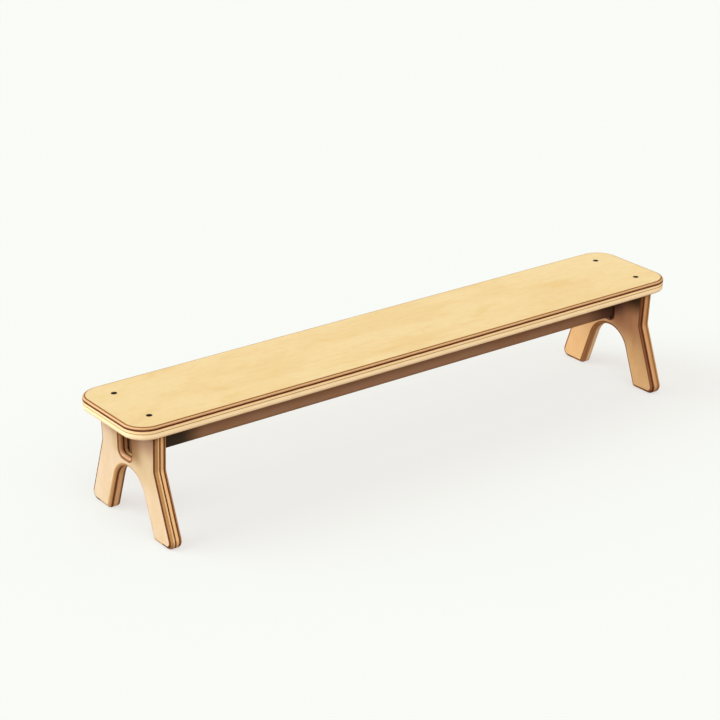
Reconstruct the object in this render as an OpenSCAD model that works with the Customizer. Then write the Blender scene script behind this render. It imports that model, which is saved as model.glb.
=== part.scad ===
// Low floor balance beam of sheet plywood: a walking board on two splayed end
// legs, with a stiffening rail on edge underneath. The rail's ends stand in
// notches in the legs, close to the front wall of each notch.
// Millimetres. +X along the beam, +Y across it, +Z up. The origin is on the
// floor, under the middle of the board.

/* [Board] */
// Length of the walking board
board_l = 900; // [700:10:1200]
// Width of the walking board
board_w = 155; // [145:1:170]
// Thickness of the plywood sheet that the board, legs and rail are cut from
sheet_t = 18; // [15:1:21]
// Radius of the board's corners in plan
corner_r = 32; // [20:1:45]
// Radius of the rounded-over edges
edge_r = 4; // [2:0.5:5]

/* [Legs] */
// Height of a leg, from the floor to the underside of the board
leg_h = 148; // [138:1:160]
// Distance from the end of the board to the middle of the leg's thickness
leg_inset = 40; // [34:1:60]
// Half width of the leg where it meets the board
top_half = 70; // [67:0.5:72]
// Half width of the leg at its waist
waist_half = 66.5; // [62:0.5:67]
// Height of the waist above the floor
waist_z = 98; // [92:1:102]
// Radius that eases the waist
waist_r = 14; // [6:1:20]
// Half width of the splayed feet at the floor, before their toes are rounded
foot_half = 102.5; // [99:0.5:106]
// Radius of the outer toes
toe_r = 11; // [6:1:14]
// Radius of the inner toes
heel_r = 5; // [2:0.5:7]
// Radius of the arch between the feet
arch_r = 37.5; // [35:0.5:40]
// Height of the top of the arch above the floor
arch_top = 79.5; // [74:0.5:81]

/* [Rail notch in the legs] */
// Width of the notch
notch_w = 27.5; // [27:0.5:31]
// How far the middle of the notch is behind the middle of the leg
notch_shift = 6.75; // [6:0.25:7]
// Depth of the notch below the underside of the board
notch_d = 55.5; // [55.5:0.5:58]
// Radius of the notch's lower corners
notch_r = 7; // [6:0.5:7]

/* [Rail] */
// Height of the rail on edge
rail_h = 54; // [40:1:54]
// How far each end of the rail reaches into its notch
rail_reach = 8; // [2:0.5:9]
// How far the middle of the rail is behind the middle of the board
rail_shift = 2.5; // [2.5:0.5:6]
// Radius of the rail's long edges
rail_edge_r = 4; // [1:0.5:4]

/* [Fasteners] */
// Distance of each leg screw from the centre line of the board
screw_y = 43; // [38:1:48]
// Diameter of a leg screw's shank
screw_d = 4; // [3.5:0.5:5]
// Diameter of a leg screw's countersunk head
screw_head_d = 8; // [7:0.5:9]
// Length of a leg screw
screw_l = 50; // [40:5:60]
// Diameter of a rail dowel
dowel_d = 8; // [6:1:8]
// Length of a rail dowel
dowel_l = 30; // [25:5:35]
// Depth that a rail dowel reaches into the board
dowel_in_board = 10; // [8:1:11]
// Distance between neighbouring rail dowels
dowel_pitch = 220; // [120:10:225]

/* [Hidden] */
$fn = 96;
beam_h = leg_h + sheet_t;
leg_x = board_l / 2 - leg_inset;
rail_l = 2 * (leg_x - sheet_t / 2 + rail_reach);
head_h = (screw_head_d - screw_d) / 2;
head_rim = 0.4;
screw_clear = 0.1;
sink_clear = 0.1;
dowel_clear = 0.05;
dowel_gap = 1;
wood = [0.93, 0.80, 0.58];
wood_dark = [0.80, 0.62, 0.42];
black = [0.06, 0.06, 0.06];

function unit(v) = v / norm(v);
// Centre of a fillet of radius r in the corner a-b-c
function fillet_centre(a, b, c, r) =
    let (u = unit(a - b), v = unit(c - b), half = acos(u * v) / 2)
    b + unit(u + v) * r / sin(half);
// Where that fillet touches the side from b to a
function touch(a, b, c, r) =
    let (u = unit(a - b), v = unit(c - b), half = acos(u * v) / 2)
    b + u * r / tan(half);

// Splay of the feet, as run over rise, from the waist to the floor
splay = (foot_half - waist_half) / waist_z;
splay_a = atan(splay);
arch_z = arch_top - arch_r;
// Where the arch's circle turns into the straight inner side of a foot
arch_touch = [arch_r * cos(splay_a), arch_z + arch_r * sin(splay_a)];
inner_foot = [arch_touch[0] + splay * arch_touch[1], 0];

// Cross-section with rounded corners, centred on the first axis, from 0 up
module rounded_section(w, h, r) {
    translate([-w / 2, r]) square([w, h - 2 * r]);
    translate([-w / 2 + r, 0]) square([w - 2 * r, h]);
    for (s = [-1, 1], z = [r, h - r]) translate([s * (w / 2 - r), z]) circle(r);
}

// One corner of the board: a disc with rounded-over rims
module board_corner() {
    rotate_extrude() intersection() {
        rounded_section(2 * corner_r, sheet_t, edge_r);
        square([corner_r + 1, sheet_t]);
    }
}

module board_blank() {
    straight_x = board_l - 2 * corner_r;
    straight_y = board_w - 2 * corner_r;
    translate([-straight_x / 2, 0, 0]) rotate([90, 0, 90])
        linear_extrude(straight_x) rounded_section(board_w, sheet_t, edge_r);
    translate([0, straight_y / 2, 0]) rotate([90, 0, 0])
        linear_extrude(straight_y) rounded_section(board_l, sheet_t, edge_r);
    for (sx = [-1, 1], sy = [-1, 1])
        translate([sx * straight_x / 2, sy * straight_y / 2, 0]) board_corner();
}

// Clearance hole and countersink of a leg screw, measured down from the top
module screw_hole() {
    translate([0, 0, -sheet_t - 1]) cylinder(d = screw_d + 2 * screw_clear, h = sheet_t + 2);
    translate([0, 0, -head_h - head_rim]) cylinder(d1 = screw_d + 2 * sink_clear,
        d2 = screw_head_d + 2 * sink_clear, h = head_h);
    translate([0, 0, -head_rim]) cylinder(d = screw_head_d + 2 * sink_clear, h = head_rim + 1);
}

// Points along the fillet of radius r in the corner a-b-c, from the side a-b to the side b-c
function fillet(a, b, c, r, steps) =
    let (m = fillet_centre(a, b, c, r),
         s = touch(a, b, c, r) - m,
         e = touch(c, b, a, r) - m,
         from = atan2(s[1], s[0]),
         turn = (atan2(e[1], e[0]) - from + 540) % 360 - 180)
    [for (i = [0:steps]) m + r * [cos(from + turn * i / steps), sin(from + turn * i / steps)]];
// Points along an arc about m, from one angle to another
function arc(m, r, from, to, steps) =
    [for (i = [0:steps]) m + r * [cos(from + (to - from) * i / steps), sin(from + (to - from) * i / steps)]];
function mirrored(pts) = [for (i = [len(pts) - 1:-1:0]) [-pts[i][0], pts[i][1]]];

// Leg outline in Y (first) and Z (second), standing on the floor: the notch, then
// one side from the top round the foot to the top of the arch, and its mirror image
module leg_outline() {
    a = [top_half, leg_h];
    b = [waist_half, waist_z];
    c = [foot_half, 0];
    front = notch_shift - notch_w / 2;
    back = notch_shift + notch_w / 2;
    bottom = leg_h - notch_d;
    outer = concat([a], fillet(a, b, c, waist_r, 10), fillet(b, c, inner_foot, toe_r, 12),
                   fillet(c, inner_foot, arch_touch, heel_r, 8),
                   arc([0, arch_z], arch_r, splay_a, 90, 24));
    notch = concat([[front, leg_h]], arc([front + notch_r, bottom + notch_r], notch_r, 180, 270, 10),
                   arc([back - notch_r, bottom + notch_r], notch_r, 270, 360, 10), [[back, leg_h]]);
    polygon(concat(notch, outer, [for (i = [1:len(outer) - 1]) mirrored(outer)[i]]));
}

module leg() {
    difference() {
        translate([-sheet_t / 2, 0, 0]) rotate([90, 0, 90]) linear_extrude(sheet_t) leg_outline();
        // pilot holes for the leg screws, in the top edge
        for (s = [-1, 1]) translate([0, s * screw_y, beam_h - screw_l - 2])
            cylinder(d = screw_d + screw_clear, h = screw_l);
    }
}

// Countersunk wood screw with a cross recess, its head's face at z = 0
module leg_screw() {
    color(black) difference() {
        union() {
            translate([0, 0, -head_rim]) cylinder(d = screw_head_d, h = head_rim);
            translate([0, 0, -head_rim - head_h]) cylinder(d1 = screw_d, d2 = screw_head_d, h = head_h);
            translate([0, 0, -screw_l + 5]) cylinder(d = screw_d, h = screw_l - 5 - head_rim - head_h + 0.01);
            translate([0, 0, -screw_l]) cylinder(d1 = 0.8, d2 = screw_d, h = 5);
        }
        translate([-2.2, -0.5, -1.8]) cube([4.4, 1, 3]);
        translate([-0.5, -2.2, -1.8]) cube([1, 4.4, 3]);
    }
}

module rail_dowel() {
    color(wood_dark) {
        cylinder(d1 = dowel_d - 1.5, d2 = dowel_d, h = 1);
        translate([0, 0, 1]) cylinder(d = dowel_d, h = dowel_l - 2);
        translate([0, 0, dowel_l - 1]) cylinder(d1 = dowel_d, d2 = dowel_d - 1.5, h = 1);
    }
}

module dowel_at(i) {
    translate([dowel_pitch * (i - 2.5), rail_shift, leg_h + dowel_in_board - dowel_l]) rail_dowel();
}

module top_board() {
    color(wood) difference() {
        translate([0, 0, leg_h]) board_blank();
        for (sx = [-1, 1], sy = [-1, 1])
            translate([sx * leg_x, sy * screw_y, beam_h]) screw_hole();
        // blind holes for the rail dowels
        for (i = [1:4]) translate([dowel_pitch * (i - 2.5), rail_shift, leg_h - 1])
            cylinder(d = dowel_d + 2 * dowel_clear, h = dowel_in_board + dowel_gap + 1);
    }
}

module leg_left() { color(wood) translate([-leg_x, 0, 0]) leg(); }
module leg_right() { color(wood) translate([leg_x, 0, 0]) leg(); }

module rail() {
    color(wood_dark) difference() {
        translate([-rail_l / 2, rail_shift, leg_h - rail_h]) rotate([90, 0, 90])
            linear_extrude(rail_l) rounded_section(sheet_t, rail_h, rail_edge_r);
        for (i = [1:4]) translate([dowel_pitch * (i - 2.5), rail_shift, leg_h - dowel_l + dowel_in_board - dowel_gap])
            cylinder(d = dowel_d + 2 * dowel_clear, h = dowel_l);
    }
}

top_board();
leg_left();
leg_right();
rail();
translate([-leg_x, -screw_y, beam_h]) leg_screw();  // screw_left_front
translate([-leg_x, screw_y, beam_h]) leg_screw();  // screw_left_back
translate([leg_x, -screw_y, beam_h]) leg_screw();  // screw_right_front
translate([leg_x, screw_y, beam_h]) leg_screw();  // screw_right_back
dowel_at(1);  // dowel_1
dowel_at(2);  // dowel_2
dowel_at(3);  // dowel_3
dowel_at(4);  // dowel_4
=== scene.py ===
import math

import bpy
from mathutils import Matrix, Vector
from mathutils.geometry import delaunay_2d_cdt


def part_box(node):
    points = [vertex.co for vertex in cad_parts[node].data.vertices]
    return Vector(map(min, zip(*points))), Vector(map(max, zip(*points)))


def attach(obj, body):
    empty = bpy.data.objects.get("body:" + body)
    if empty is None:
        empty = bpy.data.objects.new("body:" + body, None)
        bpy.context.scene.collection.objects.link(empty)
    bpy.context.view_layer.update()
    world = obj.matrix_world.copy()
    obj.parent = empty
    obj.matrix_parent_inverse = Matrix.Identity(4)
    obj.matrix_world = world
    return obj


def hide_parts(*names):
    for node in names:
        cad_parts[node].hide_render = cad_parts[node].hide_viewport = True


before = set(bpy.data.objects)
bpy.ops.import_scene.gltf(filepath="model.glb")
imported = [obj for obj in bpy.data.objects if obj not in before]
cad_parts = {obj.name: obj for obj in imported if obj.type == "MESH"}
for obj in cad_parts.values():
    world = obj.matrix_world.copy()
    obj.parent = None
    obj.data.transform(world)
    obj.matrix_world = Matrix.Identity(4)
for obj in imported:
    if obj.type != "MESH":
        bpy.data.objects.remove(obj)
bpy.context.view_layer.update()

MM = 0.001


# ------------------------------------------------------------------ sizes in mm, read back from the imported frame, and the round-over radii
def mm_box(node):
    lo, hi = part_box(node)
    return [v / MM for v in lo], [v / MM for v in hi]


board_lo, board_hi = mm_box("top_board")
BL, BW = board_hi[0] - board_lo[0], board_hi[1] - board_lo[1]
TOP, UNDER = board_hi[2], board_lo[2]
T = TOP - UNDER
legl_lo, legl_hi = mm_box("leg_left")
legr_lo, legr_hi = mm_box("leg_right")
LEG_W = legl_hi[1] - legl_lo[1]
rail_lo, rail_hi = mm_box("rail")
screw_boxes = {n: mm_box(n) for n in ("screw_left_front", "screw_left_back", "screw_right_front", "screw_right_back")}
dowel_boxes = {n: mm_box(n) for n in ("dowel_1", "dowel_2", "dowel_3", "dowel_4")}

CORNER_R, EDGE_R = 32.0, 4.0
LEG_EDGE_R = 5.0


# ------------------------------------------------------------------ mesh building
class Build:
    """Collects vertices, faces and a normal for each corner of each face."""

    def __init__(self):
        self.v, self.f, self.n = [], [], []

    def vert(self, p):
        self.v.append((p[0] * MM, p[1] * MM, p[2] * MM))
        return len(self.v) - 1

    def ring(self, pts):
        return [self.vert(p) for p in pts]

    def face(self, idx, normals):
        """Adds a face, turned so that it faces the way its normals point."""
        idx = list(idx)
        if not hasattr(normals[0], "__len__"):
            normals = [normals] * len(idx)
        normals = [Vector(q).normalized() for q in normals]
        p = [Vector(self.v[i]) for i in idx]
        facing = sum((p[k].cross(p[(k + 1) % len(p)]) for k in range(len(p))), Vector())
        if facing.dot(sum(normals, Vector())) < 0:
            idx.reverse()
            normals.reverse()
        self.f.append(tuple(idx))
        self.n.append(normals)

    def flat(self, outer, holes, normal, keep):
        """Fills a flat outline with holes. outer and holes are lists of vertex indices; keep(x, y) says that a triangle's middle is in the solid, on the two axes of the face."""
        ax = max(range(3), key=lambda i: abs(normal[i]))
        u, w = [i for i in range(3) if i != ax]
        ids = list(outer) + [i for h in holes for i in h]
        co = [Vector((self.v[i][u] / MM, self.v[i][w] / MM)) for i in ids]
        edges, k = [], 0
        for loop in [outer] + list(holes):
            m = len(loop)
            edges += [(k + i, k + (i + 1) % m) for i in range(m)]
            k += m
        vs, es, fs, ov, oe, of_ = delaunay_2d_cdt(co, edges, [], 0, 1e-5)
        back = [ids[o[0]] if o else None for o in ov]
        for tri in fs:
            c = sum((vs[i] for i in tri), Vector((0, 0))) / len(tri)
            if not keep(c.x, c.y):
                continue
            loop = [back[i] for i in tri]
            if None in loop or len(set(loop)) < 3:
                continue
            a, b, d = (Vector(self.v[i]) for i in loop[:3])
            if (b - a).cross(d - a).dot(Vector(normal)) < 0:
                loop.reverse()
            self.face(loop, normal)

    def obj(self, name):
        me = bpy.data.meshes.new(name)
        me.from_pydata(self.v, [], self.f)
        me.validate()
        me.polygons.foreach_set("use_smooth", [True] * len(me.polygons))
        me.update()
        if len(me.polygons) == len(self.f):
            me.normals_split_custom_set([tuple(q) for face in self.n for q in face])
        o = bpy.data.objects.new(name, me)
        bpy.context.scene.collection.objects.link(o)
        return o


def in_poly(poly, x, y):
    inside = False
    for i in range(len(poly)):
        (x0, y0), (x1, y1) = poly[i - 1], poly[i]
        if (y0 > y) != (y1 > y) and x < (x1 - x0) * (y - y0) / (y1 - y0) + x0:
            inside = not inside
    return inside


def roundover(r, steps):
    """(inset, depth, tilt) from the flat face, 90 degrees of tilt, to the side, 0 degrees."""
    out = []
    for i in range(steps + 1):
        a = math.radians(90 * i / steps)
        out.append((r - r * math.sin(a), r - r * math.cos(a), 90 - 90 * i / steps))
    return out


# ---- the walking board
def plan_outline(l, w, r, steps=20):
    """Points of a rounded rectangle, anticlockwise, with their outward normals."""
    out = []
    for sx, sy, a0 in ((1, -1, -90), (1, 1, 0), (-1, 1, 90), (-1, -1, 180)):
        for i in range(steps + 1):
            a = math.radians(a0 + 90 * i / steps)
            n = (math.cos(a), math.sin(a))
            out.append(((sx * (l / 2 - r) + r * n[0], sy * (w / 2 - r) + r * n[1]), n))
    return out


def circle_loop(b, cx, cy, z, r, steps=32):
    return b.ring([(cx + r * math.cos(2 * math.pi * i / steps), cy + r * math.sin(2 * math.pi * i / steps), z) for i in range(steps)])


def tube(b, upper, lower, cx, cy, tilt=0.0):
    """Wall of a round hole between two loops, seen from inside. tilt is how far the wall faces up, in degrees."""
    m = len(upper)
    ct, st = math.cos(math.radians(tilt)), math.sin(math.radians(tilt))
    for i in range(m):
        j = (i + 1) % m
        ns = []
        for k in (i, i, j, j):
            p = Vector(b.v[upper[k]]) / MM
            d = Vector((cx - p.x, cy - p.y, 0)).normalized()
            ns.append((d.x * ct, d.y * ct, st))
        b.face([upper[i], lower[i], lower[j], upper[j]], ns)


def make_board():
    b = Build()
    plan = plan_outline(BL, BW, CORNER_R)
    m = len(plan)
    ro = roundover(EDGE_R, 9)
    rings = [(ins, TOP - d, t) for ins, d, t in ro] + [(ins, UNDER + d, -t) for ins, d, t in reversed(ro)]
    loops = [b.ring([(p[0] - ins * n[0], p[1] - ins * n[1], z) for p, n in plan]) for ins, z, t in rings]
    for k in range(len(rings) - 1):
        a0, a1 = math.radians(rings[k][2]), math.radians(rings[k + 1][2])
        for i in range(m):
            j = (i + 1) % m
            ns = []
            for q, a in ((i, a0), (i, a1), (j, a1), (j, a0)):
                n = plan[q][1]
                ns.append((n[0] * math.cos(a), n[1] * math.cos(a), math.sin(a)))
            b.face([loops[k][i], loops[k + 1][i], loops[k + 1][j], loops[k][j]], ns)
    screws, dowels = [], []
    for lo, hi in screw_boxes.values():
        cx, cy = (lo[0] + hi[0]) / 2, (lo[1] + hi[1]) / 2
        rh = (hi[0] - lo[0]) / 2 + 0.1
        rs = 2.1
        lip = circle_loop(b, cx, cy, TOP, rh + 0.12)
        top = circle_loop(b, cx, cy, TOP - 0.12, rh)
        rim = circle_loop(b, cx, cy, TOP - 0.4, rh)
        neck = circle_loop(b, cx, cy, TOP - 0.4 - (rh - rs), rs)
        foot = circle_loop(b, cx, cy, UNDER, rs)
        tube(b, lip, top, cx, cy, 45)
        tube(b, top, rim, cx, cy)
        tube(b, rim, neck, cx, cy, 45)
        tube(b, neck, foot, cx, cy)
        screws.append((cx, cy, lip, foot, rh + 0.12, rs))
    for lo, hi in dowel_boxes.values():
        cx, cy = (lo[0] + hi[0]) / 2, (lo[1] + hi[1]) / 2
        r = (hi[0] - lo[0]) / 2 + 0.05
        mouth = circle_loop(b, cx, cy, UNDER, r)
        end = circle_loop(b, cx, cy, hi[2] + 1, r)
        tube(b, end, mouth, cx, cy)
        b.flat(end, [], (0, 0, -1), lambda x, y: True)
        dowels.append((cx, cy, mouth, r))
    inner = [(p[0] - EDGE_R * n[0], p[1] - EDGE_R * n[1]) for p, n in plan]
    b.flat(loops[0], [s[2] for s in screws], (0, 0, 1),
           lambda x, y: in_poly(inner, x, y) and all((x - s[0]) ** 2 + (y - s[1]) ** 2 > (s[4] * 0.98) ** 2 for s in screws))
    b.flat(loops[-1], [s[3] for s in screws] + [d[2] for d in dowels], (0, 0, -1),
           lambda x, y: in_poly(inner, x, y)
           and all((x - s[0]) ** 2 + (y - s[1]) ** 2 > (s[5] * 0.98) ** 2 for s in screws)
           and all((x - d[0]) ** 2 + (y - d[1]) ** 2 > (d[3] * 0.98) ** 2 for d in dowels))
    return b.obj("walking_board")


# ---- the legs: one outline in Y and Z, the same numbers as the CAD
LEG = dict(top_half=70.0, waist_half=66.5, waist_z=98.0, waist_r=14.0, foot_half=102.5, toe_r=11.0, heel_r=5.0,
           arch_r=37.5, arch_top=79.5, notch_w=27.5, notch_shift=6.75, notch_d=55.5, notch_r=7.0, h=UNDER)


def leg_outline():
    """The notch, then one side from the top round the foot to the top of the arch, and its mirror image: (point, normal before, normal after, kind)."""
    g = LEG
    V2 = lambda x, y: Vector((x, y))
    a, w, f = V2(g["top_half"], g["h"]), V2(g["waist_half"], g["waist_z"]), V2(g["foot_half"], 0)
    ang = math.atan((g["foot_half"] - g["waist_half"]) / g["waist_z"])
    az = g["arch_top"] - g["arch_r"]
    at = V2(g["arch_r"] * math.cos(ang), az + g["arch_r"] * math.sin(ang))
    inn = V2(at.x + math.tan(ang) * at.y, 0)
    pts = []

    def add_arc(c, r, a0, a1, steps, sign):
        """sign 1 where the material is inside the arc (a convex corner), -1 where it is outside."""
        for i in range(steps + 1):
            t = math.radians(a0 + (a1 - a0) * i / steps)
            d = V2(math.cos(t), math.sin(t))
            pts.append([c + r * d, d * sign, d * sign, "c"])

    def fillet(p, q, s, r, steps, sign):
        u, v = (p - q).normalized(), (s - q).normalized()
        half = math.acos(max(-1, min(1, u.dot(v)))) / 2
        c = q + (u + v).normalized() * r / math.sin(half)
        s0, s1 = q + u * r / math.tan(half) - c, q + v * r / math.tan(half) - c
        a0, a1 = math.degrees(math.atan2(s0.y, s0.x)), math.degrees(math.atan2(s1.y, s1.x))
        d = (a1 - a0 + 180) % 360 - 180
        add_arc(c, r, a0, a0 + d, steps, sign)

    front, back = g["notch_shift"] - g["notch_w"] / 2, g["notch_shift"] + g["notch_w"] / 2
    bottom, nr = g["h"] - g["notch_d"], g["notch_r"]
    pts.append([V2(front, g["h"]), V2(0, 1), V2(1, 0), "t"])
    add_arc(V2(front + nr, bottom + nr), nr, 180, 270, 10, -1)
    add_arc(V2(back - nr, bottom + nr), nr, 270, 360, 10, -1)
    pts.append([V2(back, g["h"]), V2(-1, 0), V2(0, 1), "t"])
    notch, pts = pts, []
    side = (w - a).normalized()
    pts.append([a, V2(0, 1), V2(-side.y, side.x), "t"])
    fillet(a, w, f, g["waist_r"], 10, -1)
    fillet(w, f, inn, g["toe_r"], 12, 1)
    fillet(f, inn, at, g["heel_r"], 8, 1)
    add_arc(V2(0, az), g["arch_r"], math.degrees(ang), 90, 24, -1)
    other = [[V2(-p.x, p.y), V2(-n1.x, n1.y), V2(-n0.x, n0.y), k] for p, n0, n1, k in reversed(pts)]
    return notch + pts + other[1:]


def make_leg(name, lo, hi):
    pts = []
    for p, n0, n1, k in leg_outline():
        if k == "t":
            side_n = n0 if abs(n0.x) > 0.5 else n1
            pts.append((p, n0, n1, Vector((-1 / side_n.x, 0))))
        else:
            pts.append((p, n0, n1, -n0))
    m = len(pts)
    b = Build()
    ro = roundover(LEG_EDGE_R, 9)
    x0, x1 = lo[0], hi[0]
    rings = [(ins, x0 + d, -t) for ins, d, t in ro] + [(ins, x1 - d, t) for ins, d, t in reversed(ro)]
    loops = [b.ring([(x, p.x + ins * move.x, p.y + ins * move.y) for p, n0, n1, move in pts]) for ins, x, t in rings]
    top_edges = [i for i in range(m) if abs(pts[i][0].y - LEG["h"]) < 1e-6 and abs(pts[(i + 1) % m][0].y - LEG["h"]) < 1e-6
                 and pts[i][2].y > 0.99]
    for k in range(len(rings) - 1):
        a0, a1 = math.radians(rings[k][2]), math.radians(rings[k + 1][2])
        for i in range(m):
            j = (i + 1) % m
            if i in top_edges:
                continue
            ni, nj = pts[i][2], pts[j][1]
            ns = []
            for nn, a in ((ni, a0), (nj, a0), (nj, a1), (ni, a1)):
                ns.append((math.sin(a), nn.x * math.cos(a), nn.y * math.cos(a)))
            b.face([loops[k][i], loops[k][j], loops[k + 1][j], loops[k + 1][i]], ns)
    for i in top_edges:
        j = (i + 1) % m
        outer = [l[i] for l in loops] + [l[j] for l in reversed(loops)]
        ys = [pts[i][0].x, pts[j][0].x]
        cy = sum(ys) / 2
        best = min(screw_boxes.values(), key=lambda s: abs((s[0][1] + s[1][1]) / 2 - cy) + abs((s[0][0] + s[1][0]) / 2 - (x0 + x1) / 2))
        sx, sy = (best[0][0] + best[1][0]) / 2, (best[0][1] + best[1][1]) / 2
        mouth = circle_loop(b, sx, sy, LEG["h"], 2.05, 24)
        deep = circle_loop(b, sx, sy, best[0][2] - 2, 2.05, 24)
        tube(b, mouth, deep, sx, sy)
        b.flat(deep, [], (0, 0, 1), lambda x, y: True)
        poly = [(b.v[q][0] / MM, b.v[q][1] / MM) for q in outer]
        b.flat(outer, [mouth], (0, 0, 1), lambda x, y: in_poly(poly, x, y) and (x - sx) ** 2 + (y - sy) ** 2 > 2.0 ** 2)
    for loop, nx in ((loops[0], -1), (loops[-1], 1)):
        poly = [(b.v[q][1] / MM, b.v[q][2] / MM) for q in loop]
        b.flat(loop, [], (nx, 0, 0), lambda x, y: in_poly(poly, x, y))
    return b.obj(name)


# ---- the rail
def make_rail():
    b = Build()
    w, h = rail_hi[1] - rail_lo[1], rail_hi[2] - rail_lo[2]
    mid_y = (rail_lo[1] + rail_hi[1]) / 2
    r, re = 4.0, 1.0
    prof = []
    for sy, sz, a0 in ((1, 1, 0), (-1, 1, 90), (-1, -1, 180), (1, -1, 270)):
        for i in range(9):
            a = math.radians(a0 + 90 * i / 8)
            n = (math.cos(a), math.sin(a))
            prof.append(((mid_y + sy * (w / 2 - r) + r * n[0], rail_lo[2] + h / 2 + sz * (h / 2 - r) + r * n[1]), n))
    m = len(prof)
    ro = roundover(re, 4)
    rings = [(ins, rail_lo[0] + d, -t) for ins, d, t in ro] + [(ins, rail_hi[0] - d, t) for ins, d, t in reversed(ro)]
    loops = [b.ring([(x, p[0] - ins * n[0], p[1] - ins * n[1]) for p, n in prof]) for ins, x, t in rings]
    mid = len(ro) - 1
    top_edge = next(i for i in range(m) if prof[i][1][1] > 0.999 and prof[(i + 1) % m][1][1] > 0.999)
    for k in range(len(rings) - 1):
        a0, a1 = math.radians(rings[k][2]), math.radians(rings[k + 1][2])
        for i in range(m):
            j = (i + 1) % m
            if k == mid and i == top_edge:
                continue
            ns = [(math.sin(a), prof[q][1][0] * math.cos(a), prof[q][1][1] * math.cos(a)) for q, a in ((i, a0), (j, a0), (j, a1), (i, a1))]
            b.face([loops[k][i], loops[k][j], loops[k + 1][j], loops[k + 1][i]], ns)
    holes = []
    for lo, hi in dowel_boxes.values():
        cx, cy, rr = (lo[0] + hi[0]) / 2, (lo[1] + hi[1]) / 2, (hi[0] - lo[0]) / 2 + 0.05
        mouth = circle_loop(b, cx, cy, rail_hi[2], rr)
        end = circle_loop(b, cx, cy, lo[2] - 1, rr)
        tube(b, mouth, end, cx, cy)
        b.flat(end, [], (0, 0, 1), lambda x, y: True)
        holes.append((cx, cy, mouth, rr))
    i, j = top_edge, (top_edge + 1) % m
    outer = [loops[mid][i], loops[mid + 1][i], loops[mid + 1][j], loops[mid][j]]
    poly = [(b.v[q][0] / MM, b.v[q][1] / MM) for q in outer]
    b.flat(outer, [q[2] for q in holes], (0, 0, 1),
           lambda x, y: in_poly(poly, x, y) and all((x - q[0]) ** 2 + (y - q[1]) ** 2 > (q[3] * 0.98) ** 2 for q in holes))
    for loop, nx in ((loops[0], -1), (loops[-1], 1)):
        pl = [(b.v[q][1] / MM, b.v[q][2] / MM) for q in loop]
        b.flat(loop, [], (nx, 0, 0), lambda x, y: in_poly(pl, x, y))
    return b.obj("under_rail")


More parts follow.
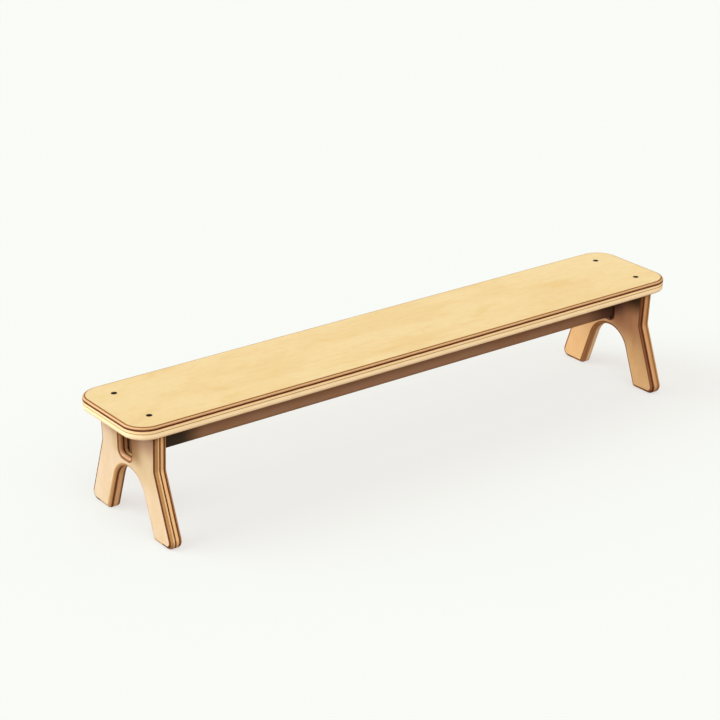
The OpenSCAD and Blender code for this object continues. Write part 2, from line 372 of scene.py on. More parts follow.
# ---- the screws: countersunk, with a tapered cross recess and a real thread
def make_screw(name, lo, hi):
    b = Build()
    cx, cy, top = (lo[0] + hi[0]) / 2, (lo[1] + hi[1]) / 2, hi[2]
    R, length = (hi[0] - lo[0]) / 2, hi[2] - lo[2]
    steps = 32

    def loop(r, z):
        return b.ring([(cx + r * math.cos(2 * math.pi * i / steps), cy + r * math.sin(2 * math.pi * i / steps), top + z) for i in range(steps)])

    def band(up, dn, tilt0, tilt1):
        for i in range(steps):
            j = (i + 1) % steps
            ns = []
            for q, t in ((i, tilt0), (i, tilt1), (j, tilt1), (j, tilt0)):
                a = 2 * math.pi * q / steps
                ns.append((math.cos(a) * math.cos(t), math.sin(a) * math.cos(t), math.sin(t)))
            b.face([up[i], dn[i], dn[j], up[j]], ns)

    rim_in = loop(R - 0.22, 0.0)
    rim_mid = loop(R - 0.06, -0.07)
    rim = loop(R, -0.22)
    rim_low = loop(R, -0.4)
    band(rim_in, rim_mid, math.radians(80), math.radians(45))
    band(rim_mid, rim, math.radians(45), 0)
    band(rim, rim_low, 0, 0)
    root, crest, pitch = 1.42, 1.95, 2.0
    neck = loop(1.7, -0.4 - (R - 1.7))
    band(rim_low, neck, math.radians(-45), math.radians(-45))
    # thread: a ridge that climbs one pitch each turn, dying away under the head and running into the tapered tip
    z0, z1 = -0.4 - (R - 1.7), -length + 5
    nz = int((z0 - z1) / 0.2)
    grid = [neck]
    rows = [[1.7] * steps]
    for k in range(1, nz + 1):
        z = z0 + (z1 - z0) * k / nz
        row, pts = [], []
        for i in range(steps):
            a = 2 * math.pi * i / steps
            ph = ((z - pitch * i / steps) / pitch) % 1.0
            ridge = max(0.0, 1 - abs(ph - 0.5) / 0.28)
            fade = min(1.0, max(0.0, (z0 - z - 8) / 3))
            base = 1.7 + (root - 1.7) * fade
            r = base + (crest - root) * ridge * fade
            row.append(r)
            pts.append((cx + r * math.cos(a), cy + r * math.sin(a), top + z))
        rows.append(row)
        grid.append(b.ring(pts))
    dz = (z0 - z1) / nz
    for k in range(nz):
        for i in range(steps):
            j = (i + 1) % steps
            ns = []
            for kk, q in ((k, i), (k + 1, i), (k + 1, j), (k, j)):
                a = 2 * math.pi * q / steps
                ka, kb = max(0, kk - 1), min(nz, kk + 1)
                slope = (rows[kb][q] - rows[ka][q]) / (dz * (kb - ka))
                n = Vector((math.cos(a), math.sin(a), slope)).normalized()
                ns.append(tuple(n))
            b.face([grid[k][i], grid[k + 1][i], grid[k + 1][j], grid[k][j]], ns)
    tip = loop(0.35, -length + 0.15)
    band(grid[-1], tip, math.radians(-17), math.radians(-17))
    b.flat(tip, [], (0, 0, -1), lambda x, y: True)
    # recess
    def cross(arm, half, z):
        c = 0.16 * arm
        q = [(half, half), (half, arm - c), (half - c, arm)]
        pts = []
        for rot in range(4):
            ca, sa = (1, 0, -1, 0)[rot], (0, 1, 0, -1)[rot]
            for x, y in [(half, -half), (arm - c, -half), (arm, -half + c), (arm, half - c), (arm - c, half)]:
                pts.append((x * ca - y * sa, x * sa + y * ca))
        return b.ring([(cx + x, cy + y, top + z) for x, y in pts]), [(cx + x, cy + y) for x, y in pts]

    c0, poly0 = cross(2.2, 0.52, 0.0)
    c1, _ = cross(1.95, 0.40, -0.25)
    c2, _ = cross(1.15, 0.26, -1.7)
    for up, dn in ((c0, c1), (c1, c2)):
        m = len(up)
        for i in range(m):
            j = (i + 1) % m
            pa, pb, pc = (Vector(b.v[q]) for q in (up[i], dn[i], up[j]))
            n = (pb - pa).cross(pc - pa).normalized()
            mid = Vector((cx * MM, cy * MM, 0))
            b.face([up[j], dn[j], dn[i], up[i]], [tuple(-n)] * 4)
    b.flat(c2, [], (0, 0, 1), lambda x, y: True)
    ringpoly = [(b.v[q][0] / MM, b.v[q][1] / MM) for q in rim_in]
    b.flat(rim_in, [c0], (0, 0, 1), lambda x, y: in_poly(ringpoly, x, y) and not in_poly(poly0, x, y))
    return b.obj(name)


# ---- the dowels: fluted, with chamfered ends
def make_dowel(name, lo, hi):
    b = Build()
    cx, cy, R = (lo[0] + hi[0]) / 2, (lo[1] + hi[1]) / 2, (hi[0] - lo[0]) / 2
    steps, flutes = 96, 16

    def loop(r, z, cut):
        pts = []
        for i in range(steps):
            a = 2 * math.pi * i / steps
            g = max(0.0, math.cos(flutes * a)) ** 3 * 0.28 * cut
            pts.append((cx + (r - g) * math.cos(a), cy + (r - g) * math.sin(a), z))
        return b.ring(pts)

    stations = [(R - 0.95, lo[2], 0.0, -60), (R - 0.75, lo[2] + 0.12, 0.2, -40), (R - 0.05, lo[2] + 1.1, 1, -25), (R, lo[2] + 1.5, 1, 0),
                (R, hi[2] - 1.5, 1, 0), (R - 0.05, hi[2] - 1.1, 1, 25), (R - 0.75, hi[2] - 0.12, 0.2, 40), (R - 0.95, hi[2], 0.0, 60)]
    loops = [loop(*s[:3]) for s in stations]
    for k in range(len(loops) - 1):
        for i in range(steps):
            j = (i + 1) % steps
            ns = []
            for kk, q in ((k + 1, i), (k, i), (k, j), (k + 1, j)):
                a = 2 * math.pi * q / steps
                cut = stations[kk][2]
                c = math.cos(flutes * a)
                dg = -3 * max(0.0, c) ** 2 * math.sin(flutes * a) * flutes * 0.28 * cut
                tang = dg / stations[kk][0]
                t = math.radians(stations[kk][3])
                rad = Vector((math.cos(a), math.sin(a), 0))
                tan = Vector((-math.sin(a), math.cos(a), 0))
                n = (rad + tan * tang).normalized() * math.cos(t) + Vector((0, 0, math.sin(t)))
                ns.append(tuple(n))
            b.face([loops[k + 1][i], loops[k][i], loops[k][j], loops[k + 1][j]], ns)
    b.flat(loops[0], [], (0, 0, -1), lambda x, y: True)
    b.flat(loops[-1], [], (0, 0, 1), lambda x, y: True)
    return b.obj(name)


# ------------------------------------------------------------------ materials
def lin(c):
    return tuple((v / 255 / 12.92) if v / 255 <= 0.04045 else ((v / 255 + 0.055) / 1.055) ** 2.4 for v in c) + (1.0,)


def albedo(c, gain):
    """The reflectance that shows as the sRGB colour c where the light gives a white surface the brightness 1 / gain."""
    r = lin(c)
    return (r[0] * gain * 0.98, r[1] * gain * 1.02, r[2] * gain * 0.93, 1.0)


class Nodes:
    def __init__(self, name):
        self.mat = bpy.data.materials.new(name)
        self.mat.use_nodes = True
        self.t = self.mat.node_tree
        self.t.nodes.clear()
        self.out = self.t.nodes.new("ShaderNodeOutputMaterial")
        self.bsdf = self.t.nodes.new("ShaderNodeBsdfPrincipled")
        self.t.links.new(self.bsdf.outputs[0], self.out.inputs[0])

    def put(self, sock, v):
        if hasattr(v, "is_linked") or hasattr(v, "links"):
            self.t.links.new(v, sock)
        else:
            sock.default_value = v

    def math(self, op, a, b=0.0, c=None, clamp=False):
        n = self.t.nodes.new("ShaderNodeMath")
        n.operation = op
        n.use_clamp = clamp
        self.put(n.inputs[0], a)
        self.put(n.inputs[1], b)
        if c is not None:
            self.put(n.inputs[2], c)
        return n.outputs[0]

    def vmath(self, op, a, b):
        n = self.t.nodes.new("ShaderNodeVectorMath")
        n.operation = op
        self.put(n.inputs[0], a)
        self.put(n.inputs[1], b)
        return n.outputs[0]

    def noise(self, vec, scale, detail=2.0, rough=0.5, dist=0.0):
        n = self.t.nodes.new("ShaderNodeTexNoise")
        n.noise_dimensions = "3D"
        self.put(n.inputs["Vector"], vec)
        n.inputs["Scale"].default_value = scale
        n.inputs["Detail"].default_value = detail
        n.inputs["Roughness"].default_value = rough
        n.inputs["Distortion"].default_value = dist
        return n.outputs["Fac"]

    def ramp(self, fac, stops, interp="LINEAR"):
        n = self.t.nodes.new("ShaderNodeValToRGB")
        n.color_ramp.interpolation = interp
        el = n.color_ramp.elements
        while len(el) > 1:
            el.remove(el[-1])
        el[0].position, el[0].color = stops[0][0], stops[0][1]
        for p, c in stops[1:]:
            e = el.new(p)
            e.color = c
        self.put(n.inputs[0], fac)
        return n.outputs["Color"]

    def remap(self, v, a, b, c=0.0, d=1.0, smooth=False):
        n = self.t.nodes.new("ShaderNodeMapRange")
        n.interpolation_type = "SMOOTHSTEP" if smooth else "LINEAR"
        n.clamp = True
        self.put(n.inputs["Value"], v)
        for k, x in (("From Min", a), ("From Max", b), ("To Min", c), ("To Max", d)):
            self.put(n.inputs[k], x)
        return n.outputs["Result"]

    def mix(self, fac, a, b, blend="MIX"):
        n = self.t.nodes.new("ShaderNodeMix")
        n.data_type = "RGBA"
        n.blend_type = blend
        n.clamp_factor = True
        self.put(n.inputs[0], fac)
        self.put(n.inputs[6], a)
        self.put(n.inputs[7], b)
        return n.outputs[2]

    def bump(self, height, dist, strength=1.0, normal=None):
        n = self.t.nodes.new("ShaderNodeBump")
        n.inputs["Strength"].default_value = strength
        n.inputs["Distance"].default_value = dist
        self.put(n.inputs["Height"], height)
        if normal is not None:
            self.put(n.inputs["Normal"], normal)
        return n.outputs[0]

    def coords(self):
        n = self.t.nodes.new("ShaderNodeTexCoord")
        return n.outputs["Object"]

    def split(self, vec):
        n = self.t.nodes.new("ShaderNodeSeparateXYZ")
        self.put(n.inputs[0], vec)
        return n.outputs

    def join(self, x, y, z):
        n = self.t.nodes.new("ShaderNodeCombineXYZ")
        for s, v in zip(n.inputs, (x, y, z)):
            self.put(s, v)
        return n.outputs[0]


def plywood(name, axis, face0, sign, grain, plies, face_a, face_b, seed=(0.0, 0.0, 0.0), rough=0.46, figure=0.5, gain=0.45, edge_gain=0.58, back=None, back_gain=0.5, shade_below_board=None, arch=None, arch_gain=0.85, notch_shade_tint=(0.66, 0.56, 0.48), notch=None, ends=None):
    """Plywood whose sheet lies across axis (0, 1 or 2). Depth is measured from face0, in mm along that axis times sign.
    grain is the axis of the face veneer's grain.
    plies is a list of (depth in mm, colour) stops through the sheet. face_a and face_b are the two tones of the face
    veneer, and back those of the other side, which on the legs are warmer so that their inner faces come out redder in
    the shade: painted shade.
    joint is, for the face and for the back, (height in mm where it starts, height where it is full, tint): painted
    shade, the wood made darker towards the board above it.
    arch is the list of plies for the walls of a leg's arch, which are paler than the other cut edges; it also turns on
    the painted shade round the notch. notch is the list for the walls of its notch, the usual plies made lighter and
    darker in places to stand for the light and shade there: painted light and shade; or else notch_shade_tint, a
    painted shade that darkens the usual plies there.
    ends is a list of (-1 or 1 for the end, distance in mm from the middle where it starts, distance where it is full,
    tint, face only): painted shade, darker towards the legs."""
    m = Nodes(name)
    co = m.vmath("ADD", m.coords(), seed)
    raw = m.split(m.coords())
    depth = m.math("MULTIPLY", m.math("SUBTRACT", m.math("MULTIPLY", raw[axis], 1000.0), face0), float(sign))
    # the veneer's own axes: along the grain, across it, and through the sheet
    cross = [i for i in range(3) if i not in (axis, grain)][0]
    xyz = m.split(co)
    along, across, thru = xyz[grain], xyz[cross], xyz[axis]

    # face: long fibres, soft clouds and a faint growth figure
    clouds = m.noise(m.join(m.math("MULTIPLY", along, 5.5), m.math("MULTIPLY", across, 17.0), m.math("MULTIPLY", thru, 17.0)), 1.0, 3.0, 0.55, 0.4)
    patches = m.noise(m.join(m.math("MULTIPLY", along, 14.0), m.math("MULTIPLY", across, 34.0), m.math("MULTIPLY", thru, 34.0)), 1.0, 2.0, 0.5, 0.8)
    mottle = m.noise(m.join(m.math("MULTIPLY", along, 55.0), m.math("MULTIPLY", across, 120.0), m.math("MULTIPLY", thru, 120.0)), 1.0, 3.0, 0.6, 0.5)
    field = m.noise(m.join(m.math("MULTIPLY", along, 1.7), m.math("MULTIPLY", across, 11.0), m.math("MULTIPLY", thru, 11.0)), 1.0, 1.0, 0.4, 0.3)
    rings = m.math("SINE", m.math("MULTIPLY", field, 95.0))
    rings = m.math("POWER", m.math("MULTIPLY_ADD", rings, 0.5, 0.5), 3.0)
    fibre = m.noise(m.join(m.math("MULTIPLY", along, 22.0), m.math("MULTIPLY", across, 1300.0), m.math("MULTIPLY", thru, 1300.0)), 1.0, 3.0, 0.62)
    streak = m.noise(m.join(m.math("MULTIPLY", along, 6.0), m.math("MULTIPLY", across, 260.0), m.math("MULTIPLY", thru, 260.0)), 1.0, 3.0, 0.6)
    fleck = m.noise(m.join(m.math("MULTIPLY", along, 150.0), m.math("MULTIPLY", across, 1500.0), m.math("MULTIPLY", thru, 1500.0)), 1.0, 1.0, 0.5)
    fleck = m.remap(fleck, 0.66, 0.78, 0.0, 1.0, True)
    cloudy = m.remap(clouds, 0.36, 0.66, 0.0, 1.0, True)
    face = m.mix(cloudy, albedo(face_a, gain), albedo(face_b, gain))
    if back:
        far = m.remap(depth, T / 2 - 0.5, T / 2 + 0.5)
        face = m.mix(far, face, m.mix(cloudy, albedo(back[0], back_gain), albedo(back[1], back_gain)))
    warm = (face_b[0] * 0.985, face_b[1] * 0.955, face_b[2] * 0.885)
    face = m.mix(m.remap(patches, 0.52, 0.74, 0.0, 0.75, True), face, tuple(w / f for w, f in zip(lin(warm)[:3], lin(face_b)[:3])) + (1.0,), "MULTIPLY")
    face = m.mix(m.remap(mottle, 0.46, 0.66, 0.0, 0.55, True), face, (0.965, 0.925, 0.85, 1.0), "MULTIPLY")
    face = m.mix(m.remap(mottle, 0.30, 0.44, 0.5, 0.0, True), face, (1.03, 1.035, 1.07, 1.0), "MULTIPLY")
    dark = (0.80, 0.70, 0.58, 1.0)
    face = m.mix(m.math("MULTIPLY", rings, 0.10 * figure), face, dark, "MULTIPLY")
    face = m.mix(m.remap(fibre, 0.35, 0.75, 0.0, 0.16), face, (0.82, 0.74, 0.62, 1.0), "MULTIPLY")
    face = m.mix(m.remap(streak, 0.42, 0.72, 0.0, 0.13 * (0.6 + figure)), face, (0.86, 0.76, 0.62, 1.0), "MULTIPLY")
    face = m.mix(m.math("MULTIPLY", fleck, 0.20), face, (0.62, 0.46, 0.30, 1.0), "MULTIPLY")

    # painted shade: the wood darkened towards the board's underside, on the face and, deeper, on the back
    if shade_below_board:
        z = m.math("MULTIPLY", raw[2], 1000.0)
        tints = [m.mix(m.remap(z, start, full, 0.0, 1.0, True), (1.0, 1.0, 1.0, 1.0), tint + (1.0,)) for start, full, tint in shade_below_board]
        face = m.mix(1.0, face, m.mix(m.remap(depth, T / 2 - 0.5, T / 2 + 0.5), tints[0], tints[1]), "MULTIPLY")
    if arch:
        # painted shade that hangs round the notch: deep beside the rail on the face, deeper on the back, and a faint
        # warm one over the front half
        y = m.math("MULTIPLY", raw[1], 1000.0)
        beside = m.remap(m.math("MULTIPLY", y, -1.0), 12.0, 46.0, 1.0, 0.0, True)
        other_side = m.remap(depth, T / 2 - 0.5, T / 2 + 0.5)
        low, high = m.remap(z, 84.0, 106.0, 0.0, 1.0, True), m.remap(z, 90.0, 120.0, 0.0, 1.0, True)
        shade_reach = m.math("MULTIPLY", beside, m.remap(other_side, 0.0, 1.0, low, high))
        shade_reach = m.math("MULTIPLY", shade_reach, m.remap(y, -7.0, 12.0, 1.0, 0.0, True))
        face = m.mix(shade_reach, face, m.mix(1.0, face, m.mix(other_side, (0.45, 0.30, 0.19, 1.0), (0.20, 0.22, 0.50, 1.0)), "MULTIPLY"))
        half = m.math("MULTIPLY", m.remap(y, -10.0, 2.0, 1.0, 0.0, True), m.remap(z, 50.0, 88.0, 0.0, 1.0, True))
        by = m.math("MULTIPLY", m.remap(y, 30.0, 46.0, 1.0, 0.0, True), m.remap(z, 88.0, 102.0, 0.0, 1.0, True))
        warm_shade_front = m.math("MULTIPLY", m.math("MAXIMUM", half, by), m.math("SUBTRACT", 1.0, other_side))
        face = m.mix(warm_shade_front, face, m.mix(1.0, face, (0.89, 0.86, 0.76, 1.0), "MULTIPLY"))
        # painted shade on the face, just below the board beside the notch
        contact_shade = m.math("MULTIPLY", m.remap(y, 40.0, 58.0, 1.0, 0.0, True), m.remap(z, 112.0, 130.0, 0.0, 1.0, True))
        contact_shade = m.math("MULTIPLY", m.math("MULTIPLY", contact_shade, m.remap(y, 0.0, 12.0, 0.0, 1.0, True)), m.math("SUBTRACT", 1.0, other_side))
        face = m.mix(contact_shade, face, m.mix(1.0, face, (0.78, 0.74, 0.76, 1.0), "MULTIPLY"))
        # painted shade hue: the back face made redder higher up under the board
        red_shade_back = m.math("MULTIPLY", m.remap(z, 58.0, 96.0, 0.0, 1.0, True), other_side)
        face = m.mix(red_shade_back, face, m.mix(1.0, face, (1.0, 0.86, 1.03, 1.0), "MULTIPLY"))

    # the cut edge: plies, with a little wander, fine pores and soft bands
    wander = m.noise(m.join(m.math("MULTIPLY", xyz[0], 26.0), m.math("MULTIPLY", xyz[1], 26.0), m.math("MULTIPLY", xyz[2], 26.0)), 1.0, 2.0, 0.5)
    fine = m.noise(co, 420.0, 2.0, 0.55)
    amount = m.remap(m.math("MINIMUM", depth, m.math("SUBTRACT", T, depth)), 0.3, 2.5, 0.0, 1.0, True)
    shift = m.math("ADD", m.math("MULTIPLY", m.math("SUBTRACT", wander, 0.5), 0.75), m.math("MULTIPLY", m.math("SUBTRACT", fine, 0.5), 0.35))
    cut = m.math("MULTIPLY_ADD", shift, amount, depth)
    edge = m.ramp(m.math("DIVIDE", cut, T), [(max(0.0, min(1.0, d / T)), albedo(c, edge_gain)) for d, c in plies])
    if arch:
        ym, zm = m.math("MULTIPLY", raw[1], 1000.0), m.math("MULTIPLY", raw[2], 1000.0)
        slope = (LEG["foot_half"] - LEG["waist_half"]) / LEG["waist_z"]
        under = m.remap(m.math("MULTIPLY_ADD", zm, slope, m.math("ABSOLUTE", ym)), 78.0, 80.0, 1.0, 0.0)
        under = m.math("MULTIPLY", under, m.remap(zm, 85.0, 87.0, 1.0, 0.0))
        pale = m.ramp(m.math("DIVIDE", cut, T), [(max(0.0, min(1.0, d / T)), albedo(c, arch_gain)) for d, c in arch])
        edge = m.mix(under, edge, pale)
        inside = m.remap(m.math("ABSOLUTE", m.math("SUBTRACT", ym, LEG["notch_shift"])), 24.0, 26.0, 1.0, 0.0)
        inside = m.math("MULTIPLY", inside, m.remap(zm, 85.0, 87.0, 0.0, 1.0))
        if notch:
            edge = m.mix(inside, edge, m.ramp(m.math("DIVIDE", cut, T), [(max(0.0, min(1.0, d / T)), albedo(c, edge_gain)) for d, c in notch]))
        else:
            # painted shade: the usual plies darkened inside the notch
            edge = m.mix(inside, edge, m.mix(1.0, edge, notch_shade_tint + (1.0,), "MULTIPLY"))
    pores = m.noise(m.vmath("MULTIPLY", co, (1500.0, 1500.0, 1500.0)), 1.0, 2.0, 0.6)
    edge = m.mix(m.remap(pores, 0.42, 0.72, 0.0, 0.30, True), edge, (0.70, 0.56, 0.42, 1.0), "MULTIPLY")
    band = m.noise(m.vmath("MULTIPLY", co, (55.0, 55.0, 55.0)), 1.0, 3.0, 0.6)
    edge = m.mix(m.remap(band, 0.40, 0.68, 0.0, 0.16, True), edge, (0.84, 0.72, 0.58, 1.0), "MULTIPLY")

    near = m.math("MINIMUM", depth, m.math("SUBTRACT", T, depth))
    is_face = m.remap(near, 0.004, 0.02, 1.0, 0.0, True)
    colour = m.mix(is_face, edge, face)
    if ends:
        # painted shade towards the legs at either end of the rail
        for side, start, full, tint, face_only in ends:
            shade_reach = m.remap(m.math("MULTIPLY", raw[0], 1000.0 * side), start, full, 0.0, 1.0, True)
            if face_only:
                shade_reach = m.math("MULTIPLY", shade_reach, m.remap(depth, 5.0, 9.0, 1.0, 0.0, True))
            colour = m.mix(shade_reach, colour, m.mix(1.0, colour, tint + (1.0,), "MULTIPLY"))
    m.put(m.bsdf.inputs["Base Color"], colour)

    # surface: satin varnish over fibres; the edge is a little drier
    r_face = m.math("MULTIPLY_ADD", fibre, 0.10, rough - 0.05)
    r_edge = m.math("MULTIPLY_ADD", pores, 0.16, rough + 0.06)
    m.put(m.bsdf.inputs["Roughness"], m.remap(is_face, 0.0, 1.0, r_edge, r_face))
    h_face = m.math("ADD", m.math("MULTIPLY", fibre, -0.55), m.math("ADD", m.math("MULTIPLY", streak, -0.35), m.math("MULTIPLY", fleck, -0.5)))
    h_edge = m.math("ADD", m.math("MULTIPLY", pores, -0.9), m.math("MULTIPLY", fine, 0.7))
    m.put(m.bsdf.inputs["Normal"], m.bump(m.remap(is_face, 0.0, 1.0, h_edge, h_face), 0.00011, 0.5))
    m.bsdf.inputs["Specular IOR Level"].default_value = 0.16
    m.bsdf.inputs["Coat Weight"].default_value = 0.03
    m.bsdf.inputs["Coat Roughness"].default_value = 0.32
    return m.mat


FACE_A, FACE_B = (253, 222, 171), (250, 215, 160)
# painted shade: the legs' back veneer made warmer and redder than the face, for inner faces that sit in shade
WARM_SHADE_BACK = ((252, 204, 152), (246, 194, 140))
# painted shade below the board on the legs: a faint warm darkening on the face, near black on the back
LEG_SHADE_BELOW_BOARD = ((UNDER - 44, UNDER - 16, (0.79, 0.66, 0.70)), (UNDER - 42, UNDER - 13, (0.13, 0.15, 0.13)))
CREAM, TAN, TAN_B, PEACH = (250, 222, 172), (212, 160, 104), (228, 184, 130), (238, 192, 146)
DK1, DK2, DK3 = (108, 58, 24), (90, 38, 8), (146, 96, 56)

board_plies = [(0.0, (128, 80, 40)), (0.6, (128, 80, 40)), (0.95, (196, 158, 118)), (2.0, (190, 148, 106)), (2.7, (150, 104, 66)), (3.0, DK2), (4.9, DK2), (5.3, (226, 184, 142)), (6.1, (250, 216, 170)), (8.1, (252, 222, 178)),
               (8.5, (178, 140, 96)), (9.3, (178, 140, 96)), (9.6, (252, 226, 186)), (13.6, (251, 226, 193)), (13.9, (240, 208, 162)), (14.3, (240, 208, 162)), (14.7, (251, 226, 193)),
               (17.2, (251, 226, 193)), (17.5, (232, 196, 148)), (18.0, (232, 196, 148))]
mat_board = plywood("plywood_board", 2, TOP, -1, 0, board_plies, FACE_A, FACE_B, seed=(0.37, 0.11, 0.05), figure=0.35, gain=0.442, edge_gain=0.78)

leg_plies = [(0.0, DK1), (0.9, DK1), (1.3, (186, 136, 86)), (3.8, (188, 138, 88)), (4.5, (246, 202, 150)), (5.9, (240, 194, 142)), (6.4, DK2), (7.7, DK2), (8.2, (216, 164, 112)), (9.2, (250, 200, 146)),
             (11.4, (246, 196, 142)), (12.2, (190, 136, 88)), (12.7, DK2), (14.1, DK2), (14.6, (196, 142, 94)), (17.0, (196, 142, 94)), (17.5, DK1), (18.0, DK1)]
left_arch = [(0.0, (196, 152, 108)), (2.4, (192, 146, 104)), (3.1, (124, 72, 38)), (5.4, (110, 62, 30)), (6.0, (214, 164, 118)), (7.6, (238, 192, 146)), (11.3, (234, 188, 142)), (12.6, (204, 154, 110)),
             (13.3, (146, 100, 66)), (16.8, (150, 106, 72)), (18.0, (130, 86, 50))]
# the notch walls' plies, made lighter and darker in places than the leg's to stand for the light and shade in the
# notch: painted light and shade
left_notch = [(0.0, (148, 95, 48)), (0.9, (148, 95, 48)), (1.3, (226, 172, 130)), (3.8, (222, 168, 126)), (4.5, (214, 160, 116)), (5.9, (200, 146, 102)), (6.4, (96, 44, 14)), (7.7, (96, 44, 14)), (8.2, (208, 156, 106)),
              (9.2, (241, 187, 132)), (11.4, (238, 184, 130)), (12.2, (184, 128, 80)), (12.7, DK2), (14.1, DK2), (14.6, (190, 134, 88)), (18.0, (190, 134, 88))]
right_plies = [(0.0, (140, 92, 50)), (0.9, (140, 92, 50)), (1.3, TAN), (4.6, TAN), (5.0, DK3), (6.8, DK3), (7.2, (196, 140, 90)), (9.2, (208, 154, 104)), (11.6, (228, 172, 126)), (13.3, (214, 156, 108)),
               (14.0, (150, 98, 58)), (14.4, DK2), (16.2, DK2), (16.6, (158, 98, 62)), (18.0, (150, 92, 54))]
right_arch = [(0.0, (240, 206, 170)), (2.4, (250, 218, 184)), (8.6, (255, 228, 192)), (9.6, (255, 228, 192)), (10.1, (186, 136, 98)), (11.4, (206, 154, 118)), (12.6, (202, 150, 112)),
              (13.4, (178, 126, 86)), (17.2, (178, 124, 84)), (17.5, (146, 98, 52)), (18.0, (146, 98, 52))]
mat_leg_l = plywood("plywood_leg_left", 0, legl_lo[0], 1, 2, leg_plies, (247, 221, 195), (243, 213, 182), seed=(1.7, 0.63, 0.29), figure=0.6, gain=0.62, edge_gain=0.64, back=WARM_SHADE_BACK, back_gain=0.66, shade_below_board=LEG_SHADE_BELOW_BOARD, arch=left_arch, notch=left_notch)
mat_leg_r = plywood("plywood_leg_right", 0, legr_hi[0], -1, 2, right_plies, (247, 221, 195), (243, 213, 182), seed=(3.1, 1.27, 0.91), figure=0.6, gain=0.62, edge_gain=0.64, back=WARM_SHADE_BACK, back_gain=0.66, shade_below_board=LEG_SHADE_BELOW_BOARD, arch=right_arch)
rail_plies = [(0.0, (206, 158, 120)), (3.2, (206, 158, 120)), (3.6, DK2), (4.7, DK2), (5.1, TAN_B), (8.2, PEACH), (8.6, DK2), (9.4, DK2), (9.8, PEACH),
              (12.9, TAN_B), (13.3, DK2), (14.4, DK2), (14.8, TAN), (16.7, TAN), (17.1, DK1), (18.0, DK1)]
# On the rail, joint is painted shade below the board and ends painted shade towards the legs, near black on the front
# face at the left end; its face tones, browner than the legs', are partly painted shade.
mat_rail = plywood("plywood_rail", 1, rail_lo[1], 1, 0, rail_plies, (224, 176, 147), (212, 161, 131), seed=(2.3, 1.9, 0.4), figure=0.7, gain=0.505, edge_gain=0.5,
                   shade_below_board=((UNDER - 46, UNDER - 34, (0.68, 0.64, 0.58)),) * 2, ends=((-1, 306.0, 344.0, (0.14, 0.17, 0.15), True), (-1, 340.0, 392.0, (0.50, 0.48, 0.50), False), (1, 340.0, 392.0, (0.34, 0.32, 0.38), False)))


def steel(name):
    m = Nodes(name)
    co = m.coords()
    fine = m.noise(co, 5200.0, 3.0, 0.6)
    broad = m.noise(co, 700.0, 2.0, 0.5)
    m.put(m.bsdf.inputs["Base Color"], m.ramp(broad, [(0.35, lin((8, 6, 5))), (0.65, lin((16, 13, 11)))]))
    m.put(m.bsdf.inputs["Roughness"], m.math("MULTIPLY_ADD", fine, 0.22, 0.45))
    m.bsdf.inputs["Specular IOR Level"].default_value = 0.05
    m.put(m.bsdf.inputs["Normal"], m.bump(fine, 0.00003, 0.5))
    return m.mat


def beech(name):
    m = Nodes(name)
    x, y, z = m.split(m.coords())
    fibre = m.noise(m.join(m.math("MULTIPLY", x, 1500.0), m.math("MULTIPLY", y, 1500.0), m.math("MULTIPLY", z, 60.0)), 1.0, 3.0, 0.6)
    fleck = m.noise(m.join(m.math("MULTIPLY", x, 700.0), m.math("MULTIPLY", y, 700.0), m.math("MULTIPLY", z, 260.0)), 1.0, 1.0, 0.5)
    base = m.mix(m.remap(fibre, 0.3, 0.7, 0.0, 1.0), lin((222, 182, 134)), lin((203, 158, 108)))
    m.put(m.bsdf.inputs["Base Color"], m.mix(m.remap(fleck, 0.6, 0.75, 0.0, 0.4, True), base, lin((150, 98, 58))))
    m.put(m.bsdf.inputs["Roughness"], m.math("MULTIPLY_ADD", fibre, 0.15, 0.6))
    m.put(m.bsdf.inputs["Normal"], m.bump(fibre, 0.0001, 0.5))
    return m.mat


mat_screw, mat_dowel = steel("black_phosphate_steel"), beech("turned_beech")

# ------------------------------------------------------------------ the pieces
root = "root"


def dress(o, mat, slot, *nodes):
    o.data.materials.append(mat)
    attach(o, root)
    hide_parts(*nodes)
    return o


dress(make_board(), mat_board, "board_plywood", "top_board")
dress(make_leg("left_leg_panel", legl_lo, legl_hi), mat_leg_l, "leg_plywood", "leg_left")
dress(make_leg("right_leg_panel", legr_lo, legr_hi), mat_leg_r, "leg_plywood", "leg_right")
dress(make_rail(), mat_rail, "rail_plywood", "rail")
for n, (lo, hi) in screw_boxes.items():
    dress(make_screw("detailed_" + n, lo, hi), mat_screw, "screw_steel", n)
for n, (lo, hi) in dowel_boxes.items():
    dress(make_dowel("fluted_" + n, lo, hi), mat_dowel, "dowel_beech", n)

# ------------------------------------------------------------------ stage, light and camera
scene = bpy.context.scene
scene.view_settings.view_transform = "Standard"
scene.view_settings.look = "None"

floor_me = bpy.data.meshes.new("floor")
S = 14.0
floor_me.from_pydata([(-S, -S, 0), (S, -S, 0), (S, S, 0), (-S, S, 0)], [], [(0, 1, 2, 3)])
floor = bpy.data.objects.new("floor", floor_me)
scene.collection.objects.link(floor)
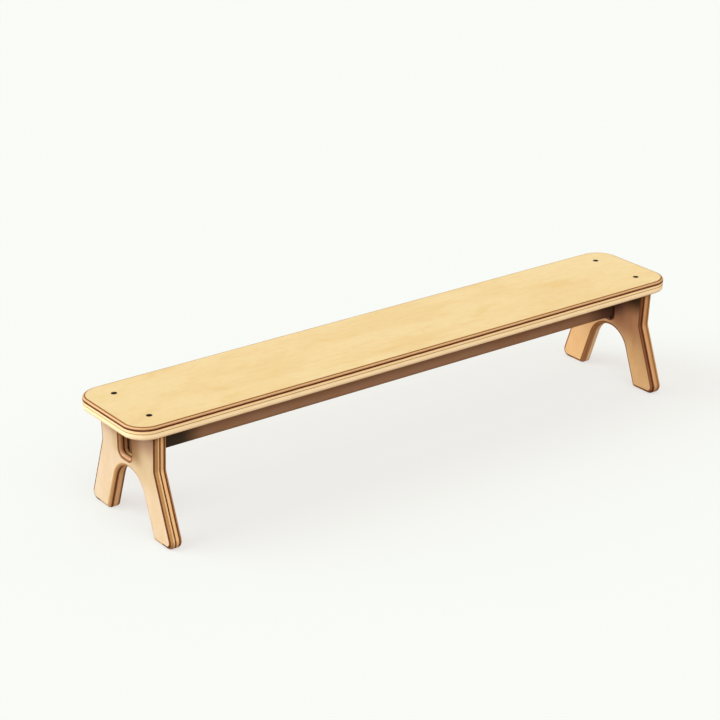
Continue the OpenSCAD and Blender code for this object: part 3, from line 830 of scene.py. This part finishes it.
# a light table: matte and lit a little from below, where it shows; what bounces off it is plain grey board
fm = Nodes("floor_matte")
fm.bsdf.inputs["Base Color"].default_value = (0.122, 0.150, 0.136, 1)
fm.bsdf.inputs["Roughness"].default_value = 0.9
fm.bsdf.inputs["Specular IOR Level"].default_value = 0.0
fm.bsdf.inputs["Emission Color"].default_value = (1.0, 0.926, 0.907, 1)
fm.bsdf.inputs["Emission Strength"].default_value = 0.679
grey = fm.t.nodes.new("ShaderNodeBsdfDiffuse")
grey.inputs["Color"].default_value = (0.30, 0.235, 0.19, 1)
seen = fm.t.nodes.new("ShaderNodeLightPath")
pick = fm.t.nodes.new("ShaderNodeMixShader")
fm.t.links.new(seen.outputs["Is Camera Ray"], pick.inputs[0])
fm.t.links.new(grey.outputs[0], pick.inputs[1])
fm.t.links.new(fm.bsdf.outputs[0], pick.inputs[2])
fm.t.links.new(pick.outputs[0], fm.out.inputs[0])
floor.data.materials.append(fm.mat)

world = bpy.data.worlds.new("studio")
scene.world = world
world.use_nodes = True
wt = world.node_tree
bg = wt.nodes["Background"]
bg.inputs[1].default_value = 1.0
# the fill comes mostly from above; near the floor it is dimmer and warmer, like a studio with a wooden floor
sky = wt.nodes.new("ShaderNodeTexCoord")
up = wt.nodes.new("ShaderNodeSeparateXYZ")
wt.links.new(sky.outputs["Generated"], up.inputs[0])
fade = wt.nodes.new("ShaderNodeMix")
fade.data_type = "RGBA"
fade.clamp_factor = True
fade.inputs[6].default_value = (0.60, 0.38, 0.27, 1)
fade.inputs[7].default_value = (1.27, 1.26, 1.22, 1)
wt.links.new(up.outputs[2], fade.inputs[0])
wt.links.new(fade.outputs[2], bg.inputs[0])
# beyond the floor's far edge the camera sees plain pale board
beyond = wt.nodes.new("ShaderNodeBackground")
beyond.inputs[0].default_value = (0.955, 0.965, 0.93, 1)
look = wt.nodes.new("ShaderNodeLightPath")
choose = wt.nodes.new("ShaderNodeMixShader")
wt.links.new(look.outputs["Is Camera Ray"], choose.inputs[0])
wt.links.new(bg.outputs[0], choose.inputs[1])
wt.links.new(beyond.outputs[0], choose.inputs[2])
wt.links.new(choose.outputs[0], next(n for n in wt.nodes if n.type == "OUTPUT_WORLD").inputs[0])


def soft_light(name, direction, energy, angle):
    """A broad distant light that shines from direction, a little cooler than the fill, so that the two together are white."""
    data = bpy.data.lights.new(name, "SUN")
    data.color = (0.875, 0.945, 1.0)
    data.energy = energy * 1.06
    data.angle = math.radians(angle)
    o = bpy.data.objects.new(name, data)
    scene.collection.objects.link(o)
    o.rotation_mode = "QUATERNION"
    o.rotation_quaternion = Vector(direction).to_track_quat("Z", "Y")


soft_light("key", (-0.70, 0.48, 0.53), 4.2, 60)
soft_light("front", (-0.20, -0.64, 0.74), 2.5, 50)

cam_data = bpy.data.cameras.new("camera")
cam = bpy.data.objects.new("camera", cam_data)
scene.collection.objects.link(cam)
scene.camera = cam
cam_data.sensor_width = 36
cam_data.sensor_fit = "HORIZONTAL"
cam_data.lens = 2143.29 * 36 / 720
cam_data.clip_start, cam_data.clip_end = 0.05, 60
right, down, ahead = Vector((0.805228, -0.592957, -0.003045)), Vector((-0.230319, -0.308029, -0.923077)), Vector((0.546407, 0.743989, -0.384603))
turn = Matrix((right, -down, -ahead)).transposed().to_4x4()
cam.matrix_world = Matrix.Translation((-1.63457, -2.15188, 1.24944)) @ turn
